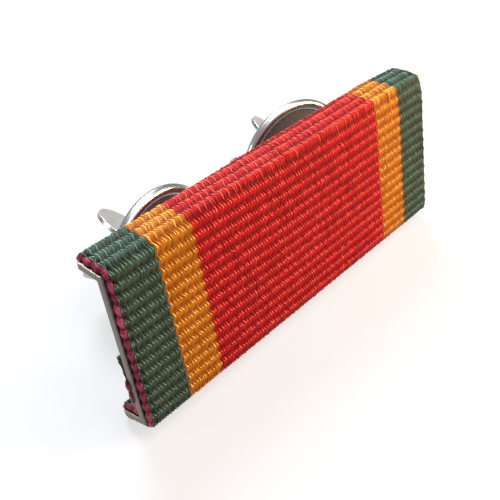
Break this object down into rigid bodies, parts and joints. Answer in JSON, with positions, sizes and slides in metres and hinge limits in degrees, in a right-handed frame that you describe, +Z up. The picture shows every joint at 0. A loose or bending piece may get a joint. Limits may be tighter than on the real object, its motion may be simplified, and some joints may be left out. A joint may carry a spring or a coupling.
{
  "type": "ribbon bar",
  "caption": "Striped ribbed ribbon folded round a pressed metal bar, held to cloth by splayed posts with butterfly clutches.",
  "frame": {"origin": "centre of the bottom of the bounding box, on the surface that the bar stands on", "axes": "+X along the bar to the viewer's right, the ribbon's face towards -Y, +Z up"},
  "size_m": [0.0324, 0.0148, 0.0131],
  "materials": {
    "bar_metal": "satin",
    "ribbon_cloth": "ribbed weave",
    "clutch_plating": "bright nickel plating",
    "wing_plating": "satin nickel plating"
  },
  "bodies": {
    "bar": {"channel_bar": "bar_metal", "ribbon": "ribbon_cloth"},
    "left_disc": {"left_disc": "clutch_plating"},
    "left_cage": {"left_cage": "clutch_plating"},
    "left_wing_upper": {"left_wing_upper": "wing_plating"},
    "left_wing_lower": {"left_wing_lower": "wing_plating"},
    "right_disc": {"right_disc": "clutch_plating"},
    "right_cage": {"right_cage": "clutch_plating"},
    "right_wing_upper": {"right_wing_upper": "wing_plating"},
    "right_wing_lower": {"right_wing_lower": "wing_plating"}
  },
  "joints": [
    {"name": "left_pull_off", "type": "slide", "parent": "bar", "child": "left_disc", "axis": [-0.1564, 0.966, -0.2057], "range_m": [-0.0018, 0.008]},
    {"name": "left_turn", "type": "hinge", "parent": "left_disc", "child": "left_cage", "pos_m": [-0.00808, 0.00162, 0.00533], "axis": [-0.1564, 0.966, -0.2057], "continuous": true},
    {"name": "left_pinch_upper", "type": "hinge", "parent": "left_cage", "child": "left_wing_upper", "pos_m": [-0.0075, 0.00185, 0.00599], "axis": [-0.7566, 0.0167, 0.6537], "range_deg": [0, 12], "stiffness_Nm_per_rad": 0.02, "springref_deg": -5.73},
    {"name": "left_pinch_lower", "type": "hinge", "parent": "left_cage", "child": "left_wing_lower", "pos_m": [-0.00865, 0.00138, 0.00467], "axis": [0.7566, -0.0167, -0.6537], "range_deg": [0, 12], "stiffness_Nm_per_rad": 0.02, "springref_deg": -5.73},
    {"name": "right_pull_off", "type": "slide", "parent": "bar", "child": "right_disc", "axis": [0.1564, 0.966, -0.2057], "range_m": [-0.0028, 0.008]},
    {"name": "right_turn", "type": "hinge", "parent": "right_disc", "child": "right_cage", "pos_m": [0.00824, 0.00266, 0.00511], "axis": [0.1564, 0.966, -0.2057], "continuous": true},
    {"name": "right_pinch_upper", "type": "hinge", "parent": "right_cage", "child": "right_wing_upper", "pos_m": [0.00889, 0.00269, 0.00575], "axis": [-0.6861, 0.2561, 0.6809], "range_deg": [0, 12], "stiffness_Nm_per_rad": 0.02, "springref_deg": -5.73},
    {"name": "right_pinch_lower", "type": "hinge", "parent": "right_cage", "child": "right_wing_lower", "pos_m": [0.0076, 0.00263, 0.00447], "axis": [0.6861, -0.2561, -0.6809], "range_deg": [0, 12], "stiffness_Nm_per_rad": 0.02, "springref_deg": -5.73}
  ]
}
